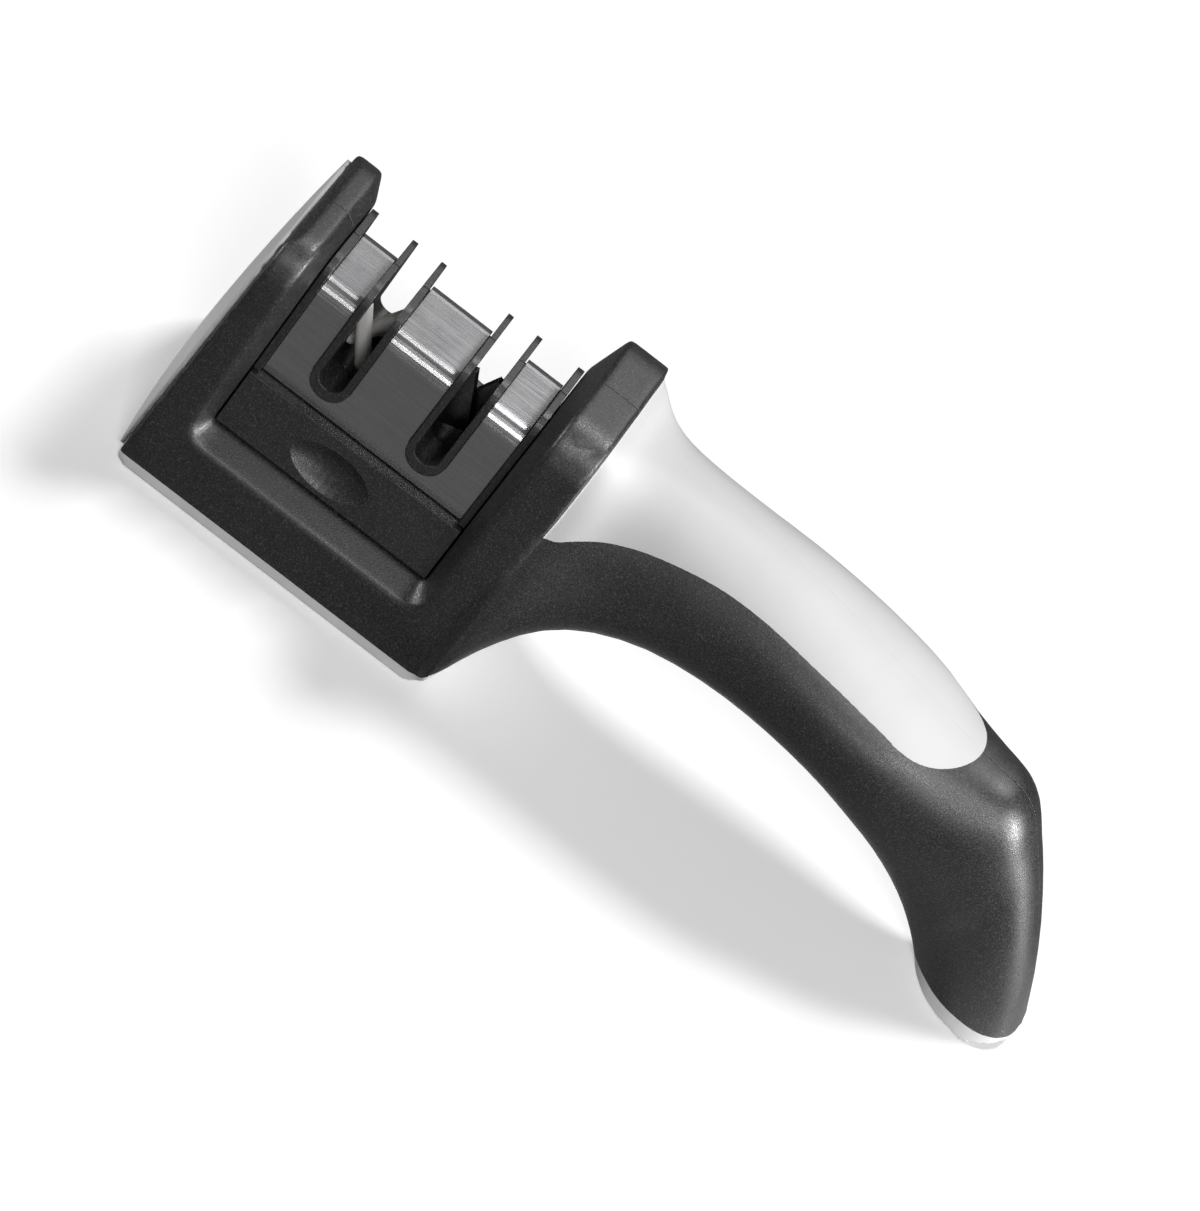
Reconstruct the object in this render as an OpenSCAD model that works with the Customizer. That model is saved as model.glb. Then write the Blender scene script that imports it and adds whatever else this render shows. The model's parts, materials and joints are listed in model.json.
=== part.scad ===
// Pull through knife sharpener with two stages: a U-shaped head that holds a lift-out
// cartridge, and an arched handle that comes down to a foot. X runs from the head to the
// tail, Y is the depth, and both halves of the case mirror each other across Y = 0.

/* [Head] */
// Width of the head at its base
head_w = 70; // [66:1:76]
// Depth of the head at its base
head_d = 48; // [46:1:54]
// Lean of the front and rear faces of the head, in degrees
head_lean = 4.9; // [3:0.1:6]
// Height of the wall at the free end
left_wall_h = 64.9; // [62:0.1:67]
// Height of the wall at the handle
right_wall_h = 70.2; // [69:0.1:74]
// Rounding of the walls' upper corners
wall_round = 9; // [7:0.5:10]
// How far the outer face of the free wall leans in at its top
left_wall_in = 2.5; // [1:0.1:3.5]
// How far the outer face of the handle wall leans out at its top
right_wall_out = 1.9; // [1:0.1:2.5]
// Width of the flat crest of the free wall
left_crest_w = 5.4; // [4.5:0.1:6]
// Width of the flat crest of the handle wall
right_crest_w = 8.9; // [7:0.1:10]
// Height of the floor that the cartridge stands on
floor_z = 18.1; // [16:0.1:19]
// Height of the crest of the walls' inner faces, where their slopes end
slope_top_z = 62.4; // [62:0.1:64]
// Lean of the inner edge of the walls' slopes, in degrees
slope_lean = 6.7; // [5:0.1:8]
// Width of the sloped rim round the finger recess, at the sides
rim_side = 2.8; // [2:0.1:3.5]
// Height of the sloped rim under the finger recess
rim_rise = 3.2; // [2:0.1:4]
// Outer corner radius of the finger recess
recess_outer_r = 5; // [3:0.1:5.5]
// Inner corner radius of the finger recess
recess_inner_r = 1.8; // [1:0.1:2.5]
// Rounding of the upper corners of the walls' inner faces
inner_round = 8; // [6:0.5:9]
// Rounding of the lower corners of the head
base_round = 1.6; // [1:0.1:2.4]

/* [End panel] */
// How far the end panel stands out at its highest point
panel_bulge = 3.1; // [2:0.1:4]
// Thickness of the end panel at its edge
panel_edge_t = 0.9; // [0.6:0.1:1.4]
// Border of black case left round the end panel
panel_border = 1; // [0.6:0.1:2]
// Height of the end panel's highest point
panel_crown_z = 20; // [15:1:30]

/* [Handle] */
// Length of the handle from the handle wall to the tail
handle_l = 132; // [125:1:145]
// Height of the handle's spine where it leaves the head
spine_h = 69.4; // [68:0.1:69.8]
// Half width of the grip at its widest
grip_half_w = 16; // [14:0.5:17]
// Thickness of the light inlay on the grip
inlay_t = 1.6; // [1.2:0.1:2.5]
// Length of the inlay from the handle wall to its round end
inlay_l = 88.4; // [84:0.1:92]

/* [Soles] */
// Thickness of the sole under the head
sole_t = 2.5; // [1.5:0.1:3.5]
// Thickness of the sole under the tail
tail_sole_t = 3; // [2:0.1:4]

/* [Cartridge] */
// Thickness of the two outer cheeks
cheek_t = 1.4; // [1.2:0.1:1.6]
// Half depth of the narrow body behind the finger panels
waist_half_d = 9.4; // [9.2:0.1:9.7]
// Height of the fins' crest over the table
fin_top_z = 61.8; // [60.5:0.1:62]
// Rounding of the fins' upper corners
fin_round = 4.4; // [4:0.1:6]
// How far the fins stand out in front of the steel cover
fin_proud = 1.2; // [0.8:0.1:1.4]
// Thickness of the rear half of each fin, a little less than the front half
rear_fin_t = 1.2; // [1:0.05:1.35]
// Thickness of the tray under the cartridge
tray_t = 2.4; // [2:0.1:3]
// Depth of the two tongues that drop into the case
tongue_h = 6; // [4:0.5:7]
// Width of each tongue
tongue_w = 7; // [5:0.5:9]

/* [Steel cover] */
// Thickness of the steel sheet
steel_t = 0.8; // [0.6:0.1:1]
// Height of the cover's lower edge over the table
steel_low_z = 31.9; // [31.5:0.1:33]
// Height of the cover's top over the table
steel_top_z = 55.8; // [55:0.1:57]
// Half depth of the cover at its lower edge
steel_low_half_d = 12.6; // [12:0.1:13]
// Lean of the cover's front and rear, in degrees
steel_lean = 7.4; // [6:0.1:8]
// Outer bend radius of the cover
steel_bend_r = 4; // [3:0.1:4.2]

/* [Knife slots] */
// Width that a blade is drawn through
slot_w = 5.4; // [5:0.1:6]
// Thickness of the rim round each slot
slot_rim_t = 1.4; // [1.2:0.1:1.6]
// Distance between the two slots
slot_pitch = 22.1; // [21:0.1:23]
// Place of the first slot from the free end of the head
first_slot_x = 24.05; // [23.5:0.05:24.5]
// Height of the centre of each slot's round end
slot_end_z = 39.7; // [39:0.1:41]
// Thickness of the rim under each slot
slot_sill_t = 2.4; // [1.6:0.1:2.8]

/* [Ceramic rods] */
// Diameter of each rod
rod_d = 3.1; // [2.6:0.1:3.2]
// Length of each rod
rod_l = 17; // [16:0.1:17.6]
// Tilt of each rod from upright, in degrees
rod_tilt = 25.5; // [23:0.5:27]
// Height at which the rods cross
rod_cross_z = 43; // [42.6:0.1:43.6]
// Length of each rod above the crossing
rod_up_l = 10; // [9:0.1:10.4]
// Distance of each rod from the middle of the cartridge
rod_offset_y = 2; // [1.7:0.1:2.2]

/* [Carbide blades] */
// Length of each blade along its edge
blade_l = 15; // [13:0.5:16]
// Width of each blade across its edge
blade_w = 5.2; // [4:0.1:6]
// Thickness of each blade
blade_t = 1.5; // [1.2:0.1:1.8]
// Tilt of each blade's edge from upright, in degrees
blade_tilt = 21; // [18:0.5:24]
// Height at which the edges cross
blade_cross_z = 48.6; // [47:0.1:49]

/* [Finger panels] */
// Thickness of each finger panel
finger_t = 3.4; // [3.2:0.1:3.5]
// Lean of each finger panel, in degrees
finger_lean = 11.5; // [9:0.5:13]
// Travel of each finger panel when it is pinched
finger_travel = 1.2; // [0.8:0.1:1.3]
// Depth of the finger hollow
hollow_depth = 1.8; // [1.2:0.1:2.2]
// Half width of the finger hollow
hollow_half_w = 8.6; // [7:0.1:9.5]
// Half height of the finger hollow
hollow_half_h = 4.8; // [4:0.1:5.2]
// Height of the finger hollow's middle over the middle of the panel
hollow_up = -0.7; // [-1:0.1:0.8]
// Shift of the finger hollow towards the handle
hollow_side = -1.5; // [-2:0.1:2]
// Radius of the panels' guide pins
guide_r = 1.4; // [1.2:0.05:1.5]

// Length of the panels' guide pins
guide_l = 5.5; // [5:0.1:6]
// Distance of the guide pins from the middle of the cartridge
guide_spread = 17.5; // [16:0.5:19]
// Height of the guide pins over the table
guide_z = 22.5; // [22.2:0.1:23]
// Half width of the springs behind the panels
spring_half_w = 5; // [4:0.1:6]
// Height of the springs' strip
spring_h = 5; // [4:0.1:6]
// Thickness of the springs' strip
spring_t = 0.35; // [0.3:0.05:0.5]

/* [Holders in the cartridge] */
// Half width of the blocks that hold the rods and the blades
holder_half_w = 7.1; // [6.9:0.1:7.3]
// Half depth of the same blocks
holder_half_d = 5.6; // [5.4:0.1:5.8]
// Height of their underside over the table
holder_low_z = 30; // [29.5:0.1:30.4]
// Thickness of the housing left over them
holder_lid_t = 1.2; // [1:0.1:1.5]

/* [Screws] */
// Radius of the case screws' shanks
screw_r = 1.2; // [1:0.05:1.4]
// Radius of the case screws' heads
screw_head_r = 2.7; // [2.2:0.1:3]
// Thickness of the case screws' heads
screw_head_t = 2; // [1.5:0.1:2.5]
// Depth at which the case screws' heads sit, from the middle plane
seat_y = 6.5; // [6:0.1:6.8]
// Length of the case screws' bite in the front half
screw_bite = 7; // [6:0.1:7.5]
// Radius of the cartridge screws' shanks
small_screw_r = 0.9; // [0.8:0.05:1]
// Radius of the cartridge screws' heads
small_screw_head_r = 1.8; // [1.5:0.1:2]
// Thickness of the cartridge screws' heads
small_head_t = 1.4; // [1.2:0.1:1.6]
// Depth at which the cartridge screws' heads sit, from the middle plane
small_seat_y = 5.5; // [5:0.1:6]
// Length of the cartridge screws' bite in the front half
small_bite = 6; // [5:0.1:6.4]
// Distance of the cartridge screws from the cartridge's sides
small_screw_inset = 3.6; // [3.4:0.1:4]
// Height of the cartridge screws over the table
small_screw_z = 25; // [24.8:0.1:26]
// Radius of the grub screws
grub_r = 1.2; // [1:0.05:1.3]
// Distance of the grub screws from the middle of their slot
grub_dx = 4.9; // [4.7:0.1:5.1]
// Height of the grub screws over the table
grub_z = 49.4; // [48.8:0.1:49.8]

/* [Fits] */
// Gap between the cartridge and the case
cartridge_gap = 0.3; // [0.2:0.05:0.35]
// Gap between pieces that are fixed together
fixed_gap = 0.1; // [0.05:0.01:0.12]
// Running gap round pins and screws
running_gap = 0.05; // [0.02:0.01:0.08]

/* [Hidden] */
$fn = 48;
arc_steps = 8;
hole_fn = 24;
overrun = 5;
slope_runout = 0.3;
slope_lap = 0.06;
seam_lap = 0.7;
waist_lap = 1;
fine_fn = 96;
corner_fn = 32;
// Place where the handle starts, as a share of the handle wall's lean
handle_start_share = 0.25;
// Shift of the pocket towards the free wall, as a share of the cartridge's gap
pocket_shift_share = 0.4;
// Depth of the case screws' bores, as a share of their bite
bore_depth_share = 1.2;
// Length of each blade below the crossing, as a share of its length
blade_low_share = 0.62;

black = [0.13, 0.13, 0.135];
light = [0.8, 0.8, 0.8];
sole_grey = [0.66, 0.66, 0.66];
steel = [0.6, 0.6, 0.61];
ceramic = [0.93, 0.93, 0.91];
carbide = [0.22, 0.22, 0.23];

// Handle stations from the head to the tail. The spine and the underside are given as
// [share of the handle's length, share of the spine's height]. The first one is in the wall.
spine_shares = [[-0.03, 0.99], [0, 1], [0.023, 0.986], [0.049, 0.964], [0.083, 0.951],
    [0.125, 0.945], [0.178, 0.941], [0.246, 0.937], [0.329, 0.925], [0.42, 0.898],
    [0.511, 0.862], [0.587, 0.827], [0.655, 0.794], [0.715, 0.775], [0.761, 0.762],
    [0.795, 0.718], [0.827, 0.634], [0.863, 0.537], [0.915, 0.371], [0.961, 0.196],
    [0.992, 0.053], [0.996, 0.04]];
under_shares = [[-0.03, 0.02], [0, 0.007], [0.011, 0.031], [0.027, 0.098], [0.053, 0.193],
    [0.091, 0.294], [0.148, 0.371], [0.223, 0.425], [0.307, 0.457], [0.386, 0.464],
    [0.462, 0.449], [0.53, 0.413], [0.59, 0.367], [0.647, 0.307], [0.699, 0.236], [0.743, 0.162],
    [0.777, 0.094], [0.801, 0.038], [0.818, -0.004], [0.827, -0.03], [0.832, -0.05], [0.838, -0.06]];
// Half width at each station, as a share of the grip's half width
width_shares = [1.2, 1.27, 1.262, 1.223, 1.118, 1.029, 0.968, 0.956, 0.963, 0.998, 1.019, 0.993,
    0.908, 0.812, 0.714, 0.63, 0.566, 0.509, 0.512, 0.556, 0.64, 0.736];
// Exponent of each section: 2 is an ellipse, more is squarer
squareness = [12, 12, 8, 4.8, 3.6, 3, 2.6, 2.3, 2.3, 2.3, 2.3, 2.3, 2.3, 2.3, 2.3, 2.3, 2.3, 2.3,
    2.3, 2.3, 2.3, 2.3];
// Share of the half width that each section gains at its foot and loses at its crest
taper_shares = [0.11, 0.274, 0.301, 0.31, 0.31, 0.264, 0.176, 0.1, 0.045, -0.005, -0.049,
    -0.085, -0.04, -0.06, -0.11, -0.17, -0.21, -0.21, -0.13, -0.03, 0, 0];
ring_steps = 12;
// Sizes of the nested outlines of the end panel, as shares of its edge
panel_ring_shares = [0.9, 0.8, 0.65, 0.5, 0.35, 0.2, 0.05];
// Lower edge of the inlay, as [share of its length, share of the spine's height]
inlay_edge_shares = [[-0.02, 0.678], [0.023, 0.686], [0.043, 0.704], [0.063, 0.722],
    [0.104, 0.754], [0.145, 0.776], [0.185, 0.795], [0.267, 0.823], [0.348, 0.84],
    [0.431, 0.846], [0.512, 0.842], [0.596, 0.831], [0.681, 0.817], [0.766, 0.798],
    [0.83, 0.78], [0.9, 0.74], [1.06, 0.7]];
// Places of the two screws in the handle, in the same shares as the stations
grip_screw_shares = [0.2346, 0.6556];
tail_screw_shares = [0.802, 0.3948];
// The last station of the inlay, of the sole's arch, and the first one of the foot's sole
inlay_last_station = 15;
arch_last_station = 9;
foot_first_station = 13;
inlay_end_share = 0.819;
inlay_end_half_share = 0.779;
// Thickness of the sole up the start of the arch, as shares of its thickness
sole_rise_shares = [0.85, 0.7, 0.55, 0.4, 0.25, -0.2];

head_half_d = head_d / 2;
head_mid_x = head_w / 2;
handle_x = head_w + handle_start_share * right_wall_out;
tail_x = handle_x + max([for (p = spine_shares) p[0]]) * handle_l;
origin_x = (tail_x - panel_bulge) / 2;

left_crest_x = left_wall_in + left_crest_w;
right_crest_x = head_w + right_wall_out - right_crest_w;
pocket_x0 = left_crest_x + rim_side - pocket_shift_share * cartridge_gap;
pocket_x1 = right_crest_x - rim_side - pocket_shift_share * cartridge_gap;
cart_x0 = pocket_x0 + cartridge_gap;
cart_x1 = pocket_x1 - cartridge_gap;
cart_w = cart_x1 - cart_x0;
cart_mid_x = (cart_x0 + cart_x1) / 2;
finger_low_z = floor_z + 2 * cartridge_gap;
finger_top_z = steel_low_z - cartridge_gap;
finger_top_half_d = steel_low_half_d + 2 * fin_proud;
finger_low_half_d = finger_top_half_d + tan(finger_lean) * (finger_top_z - finger_low_z);
slot_xs = [first_slot_x, first_slot_x + slot_pitch];
rim_r = slot_w / 2 + slot_rim_t;
slot_floor_z = slot_end_z - rim_r + slot_sill_t;
core_top_z = steel_top_z - steel_t - fixed_gap;
holder_top_z = core_top_z - holder_lid_t;

// Case screws at [place along X, height]: two under the cartridge and two in the handle
foot_screw_inset = screw_head_r + 2 * base_round - fixed_gap / 2;
case_screws_at = [[foot_screw_inset, floor_z / 2], [head_w - foot_screw_inset, floor_z / 2],
    handle_point(grip_screw_shares), handle_point(tail_screw_shares)];
cart_screws_at = [[cart_x0 + small_screw_inset, small_screw_z], [cart_x1 - small_screw_inset, small_screw_z]];
guide_xs = [cart_mid_x - guide_spread, cart_mid_x + guide_spread];

// Points of one half of an upright outline with leaning sides and a rounded crest, from
// its lower edge to the middle of its crest, as [y, z] with y below zero
function half_outline(low_half, low_z, lean, top_z, r) =
    let (top_half = low_half - (top_z - low_z) * tan(lean),
        cy = -top_half + r * (1 - sin(lean)) / cos(lean),
        cz = top_z - r)
    concat([[-low_half, low_z]],
        [for (k = [0:arc_steps]) let (a = 180 - lean - (90 - lean) * k / arc_steps)
            [cy + r * cos(a), cz + r * sin(a)]]);
// Value that lies at a share of the way from a to b
function mix(a, b, share) = a + (b - a) * share;
function mirrored(points) = concat(points,
    [for (k = [len(points) - 1:-1:0]) [-points[k][0], points[k][1]]]);

// A prism along X of points given as [y, z]
module along_x(points, x0, x1)
    translate([x0, 0, 0]) rotate([90, 0, 90]) linear_extrude(x1 - x0) polygon(points);
// A prism along Y of what is drawn as [x, z], from the depth y0 back to y1
module along_y(y0, y1)
    translate([0, y1, 0]) rotate([90, 0, 0]) linear_extrude(y1 - y0) children();

// Smooth value between the stations of a list, at station s
function between(a, b, c, d, t) =
    b + 0.5 * t * (c - a + t * (2 * a - 5 * b + 4 * c - d + t * (3 * (b - c) + d - a)));
function at_station(list, s) =
    let (n = len(list) - 1, i = min(floor(s), n - 1), t = s - i)
    between(list[max(i - 1, 0)], list[i], list[i + 1], list[min(i + 2, n)], t);
substeps = 2;
last_station = len(spine_shares) - 1;
stations = [for (k = [0:last_station * substeps]) k / substeps];

function handle_point(share) = [handle_x + share[0] * handle_l, share[1] * spine_h];
// One section of the handle: its points from the underside up the front to the spine
function section_points(s, inset) =
    let (top = handle_point(at_station(spine_shares, s)),
        low = handle_point(at_station(under_shares, s)),
        half = (top - low) / 2,
        mid = (top + low) / 2,
        shrink = (norm(half) - inset) / norm(half),
        w = at_station(width_shares, s) * grip_half_w - inset,
        power = 2 / at_station(squareness, s),
        taper = at_station(taper_shares, s))
    [for (k = [0:ring_steps])
        let (a = -90 + 180 * k / ring_steps,
            v = sign(a) * pow(abs(sin(a)), power),
            flat = k == 0 || k == ring_steps ? 0 : pow(abs(cos(a)), power),
            p = mid + half * shrink * v)
        [p[0], -w * (1 - taper * v) * flat, p[1]]];
// The front half of the handle, from the middle plane outwards: each pair of neighbouring
// sections is convex, so their hull is the stretch between them
module handle_half(inset, first = 0, last = last_station) {
    used = [for (s = stations) if (s >= first && s <= last) s];
    size = ring_steps + 3;
    for (i = [0:len(used) - 2]) hull()
        polyhedron(concat(lapped(section_points(used[i], inset)),
            lapped(section_points(used[i + 1], inset))),
            [for (k = [0:size - 1]) [k, (k + 1) % size, k + size]]);
}
// A section whose flat side laps over the middle plane, where the halves are trimmed
function lapped(points) =
    let (last = points[ring_steps])
    concat([[points[0][0], seam_lap, points[0][2]]], points, [[last[0], seam_lap, last[2]]]);
// Everything in front of the middle plane and over the table
module front_space() {
    translate([-head_w, -2 * head_d, 0]) cube([handle_l + 3 * head_w, 2 * head_d, 2 * right_wall_h]);
}

// The outline of the head in the front view: two walls, and the bar under the cartridge
module head_front_outline() {
    right_x = head_w + right_wall_out;
    polygon(concat(
        [for (k = [0:arc_steps]) let (a = 180 + 90 * k / arc_steps)
            [base_round * (1 + cos(a)), base_round * (1 + sin(a))]],
        [for (k = [0:arc_steps]) let (a = 270 + 90 * k / arc_steps)
            [head_w - base_round * (1 - cos(a)), base_round * (1 + sin(a))]],
        [[right_x, right_wall_h - 2 * wall_round], [right_x, right_wall_h],
            [pocket_x1, right_wall_h], [pocket_x1, floor_z], [pocket_x0, floor_z],
            [pocket_x0, left_wall_h], [left_wall_in + base_round, left_wall_h],
            [left_wall_in, left_wall_h - base_round]]));
}
// One plate of the recess's sloped rim: share 0 is its outer edge, share 1 its inner edge
module recess_plate(share) {
    x0 = mix(left_crest_x, pocket_x0, share);
    x1 = mix(right_crest_x, pocket_x1, share);
    low_z = mix(floor_z - rim_rise, floor_z, share);
    r = mix(recess_outer_r, recess_inner_r, share);
    y = mix(-head_half_d + (floor_z - rim_rise) * tan(head_lean), -finger_low_half_d, share);
    along_y(y - fixed_gap, y) {
        translate([x0 + r, low_z + r]) circle(r, $fn = corner_fn);
        translate([x1 - r, low_z + r]) circle(r, $fn = corner_fn);
        translate([x0, low_z + r]) square([x1 - x0, right_wall_h]);
        translate([x0 + r, low_z]) square([x1 - x0 - 2 * r, r]);
    }
}
// The slope of one wall, from its crest's edge at x1 down to its inner face at x2. It runs on
// past both and laps over the outline of the head, which trims it
module wall_slope(wall_h, x1, x2) {
    low_z = floor_z - rim_rise;
    low_half = head_half_d - low_z * tan(head_lean) + slope_lap;
    outer = half_outline(low_half, low_z, head_lean, wall_h + slope_lap, wall_round);
    inner = half_outline(finger_low_half_d, floor_z, slope_lean, slope_top_z, inner_round);
    hull() for (share = [-slope_runout, 1 + slope_runout]) {
        x = mix(x1, x2, share);
        along_x(concat(mix(outer, inner, share), [[seam_lap, mix(wall_h, slope_top_z, share)], [seam_lap, low_z]]),
            x, x + fixed_gap);
    }
}
// Space under the free wall's rounded crest, wider than the head below the rounding
module left_crest_space() {
    crest = half_outline(head_half_d, 0, head_lean, left_wall_h, wall_round);
    start = mix(crest[2], crest[1], 1 + slope_runout);
    along_x(concat([[-head_d, -overrun], [-head_d, start[1]], start],
        [for (k = [2:len(crest) - 1]) crest[k]], [[head_d, left_wall_h], [head_d, -overrun]]),
        -2 * overrun, head_mid_x);
}
// What the head's outlines trim: two walls with slopes, and the bar with its recess
module head_mass() {
    far_y = -head_half_d - overrun;
    lap = slope_runout * rim_side / 2;
    translate([right_crest_x + lap, far_y, -2 * overrun])
        cube([right_wall_h, head_d, right_wall_h + 3 * overrun]);
    wall_slope(right_wall_h, right_crest_x, pocket_x1);
    intersection() {
        left_crest_space();
        union() {
            translate([-overrun, far_y, -2 * overrun])
                cube([left_crest_x + overrun - lap, head_d, left_wall_h + 3 * overrun]);
            wall_slope(left_wall_h, left_crest_x, pocket_x0);
        }
    }
    difference() {
        translate([-2 * overrun, far_y, -3 * overrun])
            cube([2 * head_w, head_d, 3 * overrun + floor_z + rim_rise]);
        hull() {
            recess_plate(-slope_runout);
            recess_plate(1 + slope_runout);
        }
        translate([pocket_x0 - fixed_gap, -finger_low_half_d - fixed_gap, floor_z + fixed_gap])
            cube([pocket_x1 - pocket_x0 + 2 * fixed_gap, head_d, floor_z]);
    }
}
module head_half() {
    body = half_outline(head_half_d + overrun * tan(head_lean), -overrun, head_lean,
        right_wall_h, wall_round);
    intersection() {
        along_y(-head_half_d - overrun, seam_lap) head_front_outline();
        along_x(concat(body, [[head_d, right_wall_h], [head_d, -overrun]]), -overrun, head_w + 2 * overrun);
        head_mass();
    }
}

// Region of the sole: a layer under the head that thins out up the start of the arch
function sole_arch() = [for (i = [1:len(sole_rise_shares)])
    let (p = handle_point(under_shares[i + 1]),
        d = handle_point(under_shares[i + 2]) - handle_point(under_shares[i]),
        t = sole_t * sole_rise_shares[i - 1] / norm(d))
    [p[0] - t * d[1], p[1] + t * d[0]]];
module sole_region() {
    arch = sole_arch();
    last = arch[len(arch) - 1];
    along_y(-head_half_d - overrun, overrun) polygon(concat(
        [[-overrun, -overrun], [-overrun, sole_t], [handle_x - sole_t, sole_t]], arch,
        [[last[0] + overrun, last[1] - overrun], [handle_x + 2 * overrun, -overrun]]));
}
module tail_region() {
    translate([tail_x - handle_l / 3, -head_half_d, -overrun])
        cube([handle_l, head_d, overrun + tail_sole_t]);
}

// Region of the grip inlay, in front of the middle plane, widened by a gap
module inlay_region(gap) {
    x0 = head_w + right_wall_out + fixed_gap - gap;
    end_x = x0 + inlay_end_share * inlay_l;
    end_l = (1 - inlay_end_share) * inlay_l + gap;
    end_w = inlay_end_half_share * grip_half_w + gap;
    edge = [for (s = [0:0.5:len(inlay_edge_shares) - 1])
        let (p = at_station(inlay_edge_shares, s)) [x0 + p[0] * inlay_l, p[1] * spine_h - gap]];
    intersection() {
        along_y(-head_half_d, overrun) polygon(concat(edge,
            [[x0 + inlay_l + overrun, spine_h + overrun], [edge[0][0], spine_h + overrun]]));
        linear_extrude(spine_h + overrun) polygon(concat(
            [[x0, 0], [x0, -head_half_d], [end_x - overrun, -head_half_d], [end_x, -end_w]],
            [for (k = [1:2 * arc_steps]) let (a = -90 + 90 * k / (2 * arc_steps))
                [end_x + end_l * cos(a), end_w * sin(a)]]));
    }
}

module screw_holes(side) {
    for (p = case_screws_at) translate([p[0], 0, p[1]]) rotate([-90 * side, 0, 0]) {
        if (side > 0) {
            translate([0, 0, -overrun])
                cylinder(r = screw_r + 4 * running_gap, h = seat_y + 2 * overrun, $fn = hole_fn);
            translate([0, 0, seat_y])
                cylinder(r = screw_head_r + 4 * running_gap, h = head_half_d, $fn = hole_fn);
        } else {
            translate([0, 0, -overrun])
                cylinder(r = screw_r + running_gap, h = bore_depth_share * screw_bite + overrun, $fn = hole_fn);
        }
    }
}
module tongue_blocks(gap) {
    for (side = [-1, 1])
        translate([cart_mid_x + side * cart_w / 3 - tongue_w / 2 - gap, -tongue_w - gap,
            floor_z - tongue_h - gap])
            cube([tongue_w + 2 * gap, 2 * (tongue_w + gap), tongue_h + tray_t]);
}
// The half of the case in front of the middle plane, without its screw holes
module case_half() {
    intersection() {
        front_space();
        case_half_mass();
    }
}
module case_half_mass() {
    difference() {
        union() {
            head_half();
            difference() {
                handle_half(0);
                inlay_region(fixed_gap);
            }
            handle_half(inlay_t + fixed_gap, 0, last_station - 2);
        }
        sole_region();
        tail_region();
        tongue_blocks(cartridge_gap);
    }
}
module front_shell() {
    color(black) difference() {
        case_half();
        screw_holes(-1);
    }
}
module rear_shell() {
    color(black) difference() {
        mirror([0, 1, 0]) case_half();
        screw_holes(1);
    }
}

module both_halves() {
    children();
    mirror([0, 1, 0]) children();
}
module grip_inlay() {
    color(light) both_halves() difference() {
        intersection() {
            handle_half(0, 0, inlay_last_station);
            inlay_region(0);
            front_space();
        }
        handle_half(inlay_t, 0, inlay_last_station + 1);
    }
}
// The bulging end panel: outlines nested round its highest point, each further out
module end_panel() {
    lean = atan(left_wall_in / (left_wall_h - 2 * base_round));
    low_z = sole_t + panel_border - base_round;
    top_z = (left_wall_h - base_round) / cos(lean) - panel_border - base_round;
    low_half = head_half_d - (low_z + base_round) * tan(head_lean) - panel_border;
    edge = mirrored(half_outline(low_half, low_z, head_lean, top_z, wall_round - panel_border));
    color(light) translate([0, 0, base_round]) rotate([0, lean, 0]) hull() {
        along_x(edge, -panel_edge_t, -running_gap);
        for (share = panel_ring_shares) {
            out = mix(panel_bulge, panel_edge_t, share * share);
            along_x([for (p = edge) [p[0] * share, mix(panel_crown_z - base_round, p[1], share)]],
                -out, -panel_edge_t / 2);
        }
    }
}
module base_sole() {
    color(sole_grey) both_halves() intersection() {
        front_space();
        union() {
            head_half();
            handle_half(0, 0, arch_last_station);
        }
        sole_region();
    }
}
module tail_sole() {
    color(sole_grey) both_halves() intersection() {
        front_space();
        handle_half(0, foot_first_station, last_station);
        tail_region();
    }
}
// A screw along +Y whose head sits at the depth seat
module screw(r, head_r, head_t, bite, seat) {
    rotate([-90, 0, 0]) {
        translate([0, 0, -bite]) cylinder(r = r, h = bite + seat);
        difference() {
            translate([0, 0, seat]) cylinder(r = head_r, h = head_t);
            translate([-head_r / 2, -head_r / 10, seat + head_t / 2]) cube([head_r, head_r / 5, head_t]);
            translate([-head_r / 10, -head_r / 2, seat + head_t / 2]) cube([head_r / 5, head_r, head_t]);
        }
    }
}
module case_screws() {
    color(steel) for (p = case_screws_at) translate([p[0], 0, p[1]])
        screw(screw_r, screw_head_r, screw_head_t, screw_bite, seat_y);
}

// Outline of the saddle under, at or over the steel cover, at the distance out from its face
function saddle(out, top_z, r) =
    half_outline(steel_low_half_d + out / cos(steel_lean), steel_low_z, steel_lean, top_z, r);
fin_outline = saddle(fin_proud, fin_top_z, fin_round);
core_outline = saddle(-steel_t - fixed_gap, core_top_z, steel_bend_r - steel_t);

// The stadium of one slot in the front view, open at its top
module slot_shape(x, r, end_z) {
    translate([x, end_z]) circle(r);
    translate([x - r, end_z]) square([2 * r, fin_top_z]);
}
module slot_channels(r, y0, y1, end_z = slot_end_z) {
    for (x = slot_xs) along_y(y0, y1) slot_shape(x, r, end_z);
}
module holder_space(x, gap) {
    translate([x - holder_half_w - gap, -holder_half_d - gap, holder_low_z - gap])
        cube([2 * (holder_half_w + gap), 2 * (holder_half_d + gap), holder_top_z - holder_low_z + 2 * gap]);
}
module guide_holes() {
    for (x = guide_xs) translate([x, 0, guide_z]) rotate([90, 0, 0])
        cylinder(r = guide_r + running_gap, h = head_half_d);
}
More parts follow.
